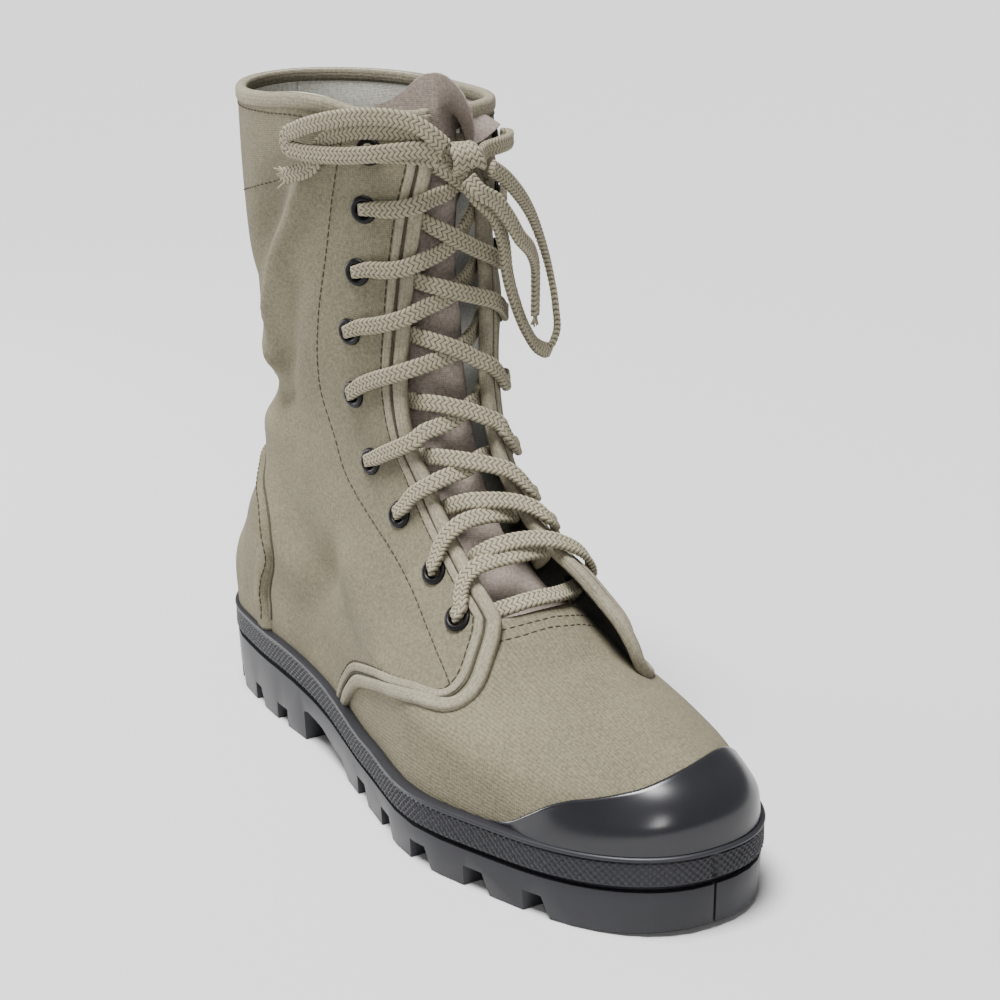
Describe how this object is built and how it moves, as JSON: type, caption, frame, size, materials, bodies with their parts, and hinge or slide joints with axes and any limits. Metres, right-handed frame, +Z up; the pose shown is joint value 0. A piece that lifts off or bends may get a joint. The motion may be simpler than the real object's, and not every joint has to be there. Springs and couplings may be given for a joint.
{
  "type": "canvas lace-up boot",
  "caption": "Right foot high canvas lace-up boot in olive taupe with a black rubber lugged sole, rubber toe cap and a lace tied in a bow.",
  "frame": {"origin": "centre of the resting box at floor level, with the boot standing on its sole", "axes": "+X from heel to toe, +Y to the inner side of the foot, +Z up"},
  "size_m": [0.3008, 0.1022, 0.257],
  "materials": {
    "rubber": "matte moulded",
    "rubber_toe": "smooth glossy",
    "canvas": "plain weave",
    "tongue_canvas": "plain weave",
    "lining": "plain cotton",
    "eyelet": "black enamel",
    "lace": "flat braid"
  },
  "bodies": {
    "root": {"collar_binding": "canvas", "edge_binding_inner": "canvas", "edge_binding_outer": "canvas", "eyelet_inner_1": "eyelet", "eyelet_inner_2": "eyelet", "eyelet_inner_3": "eyelet", "eyelet_inner_4": "eyelet", "eyelet_inner_5": "eyelet", "eyelet_inner_6": "eyelet", "eyelet_inner_7": "eyelet", "eyelet_inner_8": "eyelet", "eyelet_inner_9": "eyelet", "eyelet_outer_1": "eyelet", "eyelet_outer_2": "eyelet", "eyelet_outer_3": "eyelet", "eyelet_outer_4": "eyelet", "eyelet_outer_5": "eyelet", "eyelet_outer_6": "eyelet", "eyelet_outer_7": "eyelet", "eyelet_outer_8": "eyelet", "eyelet_outer_9": "eyelet", "heel_counter": "canvas", "insole": "lining", "lace_bar": "lace", "lace_cross_1": "lace", "lace_cross_2": "lace", "lace_cross_3": "lace", "lace_cross_4": "lace", "lace_cross_5": "lace", "lace_cross_6": "lace", "lace_cross_7": "lace", "lace_cross_8": "lace", "lace_end_left": "lace", "lace_end_right": "lace", "lace_knot": "lace", "lace_loop_left": "lace", "lace_loop_right": "lace", "midsole_tray": "rubber", "outsole": "rubber", "toe_cap": "rubber_toe", "tongue": "tongue_canvas", "upper": "canvas"}
  },
  "joints": []
}
